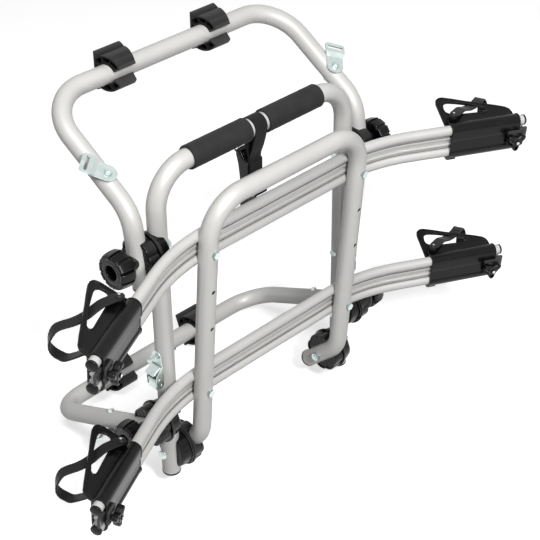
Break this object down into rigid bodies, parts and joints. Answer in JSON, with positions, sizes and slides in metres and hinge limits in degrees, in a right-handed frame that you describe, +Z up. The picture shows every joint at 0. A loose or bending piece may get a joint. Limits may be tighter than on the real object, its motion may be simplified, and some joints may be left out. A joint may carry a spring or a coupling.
{
  "type": "bike carrier",
  "caption": "Rear door bike carrier: tube frame, padded upper and lower supports on knobbed hubs, and a fold-up platform whose curved rails carry strapped wheel holders",
  "frame": {"origin": "midway between the flat backs of the two upper pads, on the rear door's surface, as mounted", "axes": "+X along the pad bars to the carrier's right seen from behind the car, +Y forward into the car, +Z up"},
  "size_m": [0.9422, 0.4709, 0.6767],
  "materials": {
    "silver_paint": "satin silver powder coat on steel tube",
    "rail_silver": "satin silver extruded rail",
    "grip_foam": "matte dark grey foam with fine rings",
    "webbing": "woven black webbing",
    "zinc_steel": "bright zinc plating with a pale blue-green cast",
    "pad_rubber": "matte black moulded rubber",
    "strap_rubber": "soft black strap",
    "black_plastic": "black moulded plastic with a soft sheen"
  },
  "bodies": {
    "main_frame": {"main_frame_tube": "silver_paint", "main_frame_caps": "black_plastic", "grip_left": "grip_foam", "grip_right": "grip_foam", "centre_strap": "webbing", "centre_buckle_body": "black_plastic", "centre_buckle_pin": "zinc_steel", "upper_fixed_saddles": "black_plastic", "lower_fixed_saddles": "black_plastic", "platform_fixed_saddles": "black_plastic", "pivot_bolts": "zinc_steel", "cam_buckle_frame_left": "zinc_steel", "cam_buckle_frame_right": "zinc_steel", "cam_buckle_bolts": "zinc_steel"},
    "upper_support": {"upper_support_tube": "silver_paint", "upper_support_caps": "black_plastic", "upper_moving_saddles": "black_plastic", "upper_bracket_bolts": "zinc_steel"},
    "lower_support": {"lower_support_tube": "silver_paint", "lower_support_caps": "black_plastic", "lower_moving_saddles": "black_plastic", "lower_bracket_bolts": "zinc_steel"},
    "platform": {"platform_tube": "silver_paint", "platform_caps": "black_plastic", "platform_moving_saddles": "black_plastic", "rail_upper": "rail_silver", "rail_lower": "rail_silver", "rail_bolts": "zinc_steel", "rail_end_caps": "black_plastic"},
    "cam_lever_left": {"cam_lever_left": "zinc_steel"},
    "upper_knob_left": {"upper_knob_left": "black_plastic"},
    "lower_knob_left": {"lower_knob_left": "black_plastic"},
    "upper_pad_left": {"upper_pad_left": "pad_rubber"},
    "lower_pad_left": {"lower_pad_left": "pad_rubber"},
    "upper_strap_bracket_left": {"upper_strap_bracket_left": "zinc_steel"},
    "lower_strap_bracket_left": {"lower_strap_bracket_left": "zinc_steel"},
    "cam_lever_right": {"cam_lever_right": "zinc_steel"},
    "upper_knob_right": {"upper_knob_right": "black_plastic"},
    "lower_knob_right": {"lower_knob_right": "black_plastic"},
    "upper_pad_right": {"upper_pad_right": "pad_rubber"},
    "lower_pad_right": {"lower_pad_right": "pad_rubber"},
    "upper_strap_bracket_right": {"upper_strap_bracket_right": "zinc_steel"},
    "lower_strap_bracket_right": {"lower_strap_bracket_right": "zinc_steel"},
    "wheel_holder_upper_left": {"holder_body_upper_left": "black_plastic", "holder_clamp_upper_left": "black_plastic", "wheel_strap_upper_left": "strap_rubber"},
    "wing_knob_upper_left": {"wing_knob_upper_left": "black_plastic"},
    "wheel_holder_upper_right": {"holder_body_upper_right": "black_plastic", "holder_clamp_upper_right": "black_plastic", "wheel_strap_upper_right": "strap_rubber"},
    "wing_knob_upper_right": {"wing_knob_upper_right": "black_plastic"},
    "wheel_holder_lower_left": {"holder_body_lower_left": "black_plastic", "holder_clamp_lower_left": "black_plastic", "wheel_strap_lower_left": "strap_rubber"},
    "wing_knob_lower_left": {"wing_knob_lower_left": "black_plastic"},
    "wheel_holder_lower_right": {"holder_body_lower_right": "black_plastic", "holder_clamp_lower_right": "black_plastic", "wheel_strap_lower_right": "strap_rubber"},
    "wing_knob_lower_right": {"wing_knob_lower_right": "black_plastic"}
  },
  "joints": [
    {"name": "platform_fold", "type": "hinge", "parent": "main_frame", "child": "platform", "pos_m": [0, -0.21455, -0.5738], "axis": [1, 0, 0], "range_deg": [0, 85]},
    {"name": "upper_support_swing", "type": "hinge", "parent": "main_frame", "child": "upper_support", "pos_m": [0, -0.21455, -0.1878], "axis": [1, 0, 0], "range_deg": [-100, 30]},
    {"name": "lower_support_swing", "type": "hinge", "parent": "main_frame", "child": "lower_support", "pos_m": [0, -0.21455, -0.5008], "axis": [1, 0, 0], "range_deg": [-35, 30]},
    {"name": "cam_lever_left_press", "type": "hinge", "parent": "main_frame", "child": "cam_lever_left", "pos_m": [-0.223, -0.21455, -0.4148], "axis": [0, 1, 0], "range_deg": [0, 60]},
    {"name": "upper_knob_left_turn", "type": "hinge", "parent": "main_frame", "child": "upper_knob_left", "pos_m": [-0.264, -0.21455, -0.1878], "axis": [-1, 0, 0], "continuous": true},
    {"name": "lower_knob_left_turn", "type": "hinge", "parent": "main_frame", "child": "lower_knob_left", "pos_m": [-0.264, -0.21455, -0.5008], "axis": [-1, 0, 0], "continuous": true},
    {"name": "upper_pad_left_tilt", "type": "hinge", "parent": "upper_support", "child": "upper_pad_left", "pos_m": [-0.0985, -0.023, 0], "axis": [1, 0, 0], "range_deg": [-40, 40]},
    {"name": "lower_pad_left_tilt", "type": "hinge", "parent": "lower_support", "child": "lower_pad_left", "pos_m": [-0.094, 0.03729, -0.60874], "axis": [1, 0, 0], "range_deg": [-40, 40]},
    {"name": "upper_strap_bracket_left_swivel", "type": "hinge", "parent": "upper_support", "child": "upper_strap_bracket_left", "pos_m": [-0.239, -0.15994, -0.06788], "axis": [0, -0.5299, 0.848], "range_deg": [-30, 30]},
    {"name": "lower_strap_bracket_left_swivel", "type": "hinge", "parent": "lower_support", "child": "lower_strap_bracket_left", "pos_m": [-0.239, -0.1313, -0.5528], "axis": [0, -0.3939, -0.9191], "range_deg": [-30, 30]},
    {"name": "cam_lever_right_press", "type": "hinge", "parent": "main_frame", "child": "cam_lever_right", "pos_m": [0.223, -0.21455, -0.4148], "axis": [0, -1, 0], "range_deg": [0, 60]},
    {"name": "upper_knob_right_turn", "type": "hinge", "parent": "main_frame", "child": "upper_knob_right", "pos_m": [0.264, -0.21455, -0.1878], "axis": [1, 0, 0], "continuous": true},
    {"name": "lower_knob_right_turn", "type": "hinge", "parent": "main_frame", "child": "lower_knob_right", "pos_m": [0.264, -0.21455, -0.5008], "axis": [1, 0, 0], "continuous": true},
    {"name": "upper_pad_right_tilt", "type": "hinge", "parent": "upper_support", "child": "upper_pad_right", "pos_m": [0.0985, -0.023, 0], "axis": [1, 0, 0], "range_deg": [-40, 40]},
    {"name": "lower_pad_right_tilt", "type": "hinge", "parent": "lower_support", "child": "lower_pad_right", "pos_m": [0.094, 0.03729, -0.60874], "axis": [1, 0, 0], "range_deg": [-40, 40]},
    {"name": "upper_strap_bracket_right_swivel", "type": "hinge", "parent": "upper_support", "child": "upper_strap_bracket_right", "pos_m": [0.239, -0.15994, -0.06788], "axis": [0, -0.5299, 0.848], "range_deg": [-30, 30]},
    {"name": "lower_strap_bracket_right_swivel", "type": "hinge", "parent": "lower_support", "child": "lower_strap_bracket_right", "pos_m": [0.239, -0.1313, -0.5528], "axis": [0, -0.3939, -0.9191], "range_deg": [-30, 30]},
    {"name": "wheel_holder_upper_left_slide", "type": "slide", "parent": "platform", "child": "wheel_holder_upper_left", "axis": [-0.9026, -0.4289, -0.0375], "range_m": [-0.055, 0]},
    {"name": "wing_knob_upper_left_turn", "type": "hinge", "parent": "wheel_holder_upper_left", "child": "wing_knob_upper_left", "pos_m": [-0.43509, -0.38407, -0.19313], "axis": [0.4305, -0.8992, -0.0787], "continuous": true},
    {"name": "wheel_holder_upper_right_slide", "type": "slide", "parent": "platform", "child": "wheel_holder_upper_right", "axis": [0.9026, -0.4289, -0.0375], "range_m": [-0.055, 0]},
    {"name": "wing_knob_upper_right_turn", "type": "hinge", "parent": "wheel_holder_upper_right", "child": "wing_knob_upper_right", "pos_m": [0.43509, -0.38407, -0.19313], "axis": [-0.4305, -0.8992, -0.0787], "continuous": true},
    {"name": "wheel_holder_lower_left_slide", "type": "slide", "parent": "platform", "child": "wheel_holder_lower_left", "axis": [-0.9026, -0.4289, -0.0375], "range_m": [-0.055, 0]},
    {"name": "wing_knob_lower_left_turn", "type": "hinge", "parent": "wheel_holder_lower_left", "child": "wing_knob_lower_left", "pos_m": [-0.43509, -0.3608, -0.45912], "axis": [0.4305, -0.8992, -0.0787], "continuous": true},
    {"name": "wheel_holder_lower_right_slide", "type": "slide", "parent": "platform", "child": "wheel_holder_lower_right", "axis": [0.9026, -0.4289, -0.0375], "range_m": [-0.055, 0]},
    {"name": "wing_knob_lower_right_turn", "type": "hinge", "parent": "wheel_holder_lower_right", "child": "wing_knob_lower_right", "pos_m": [0.43509, -0.3608, -0.45912], "axis": [-0.4305, -0.8992, -0.0787], "continuous": true}
  ]
}
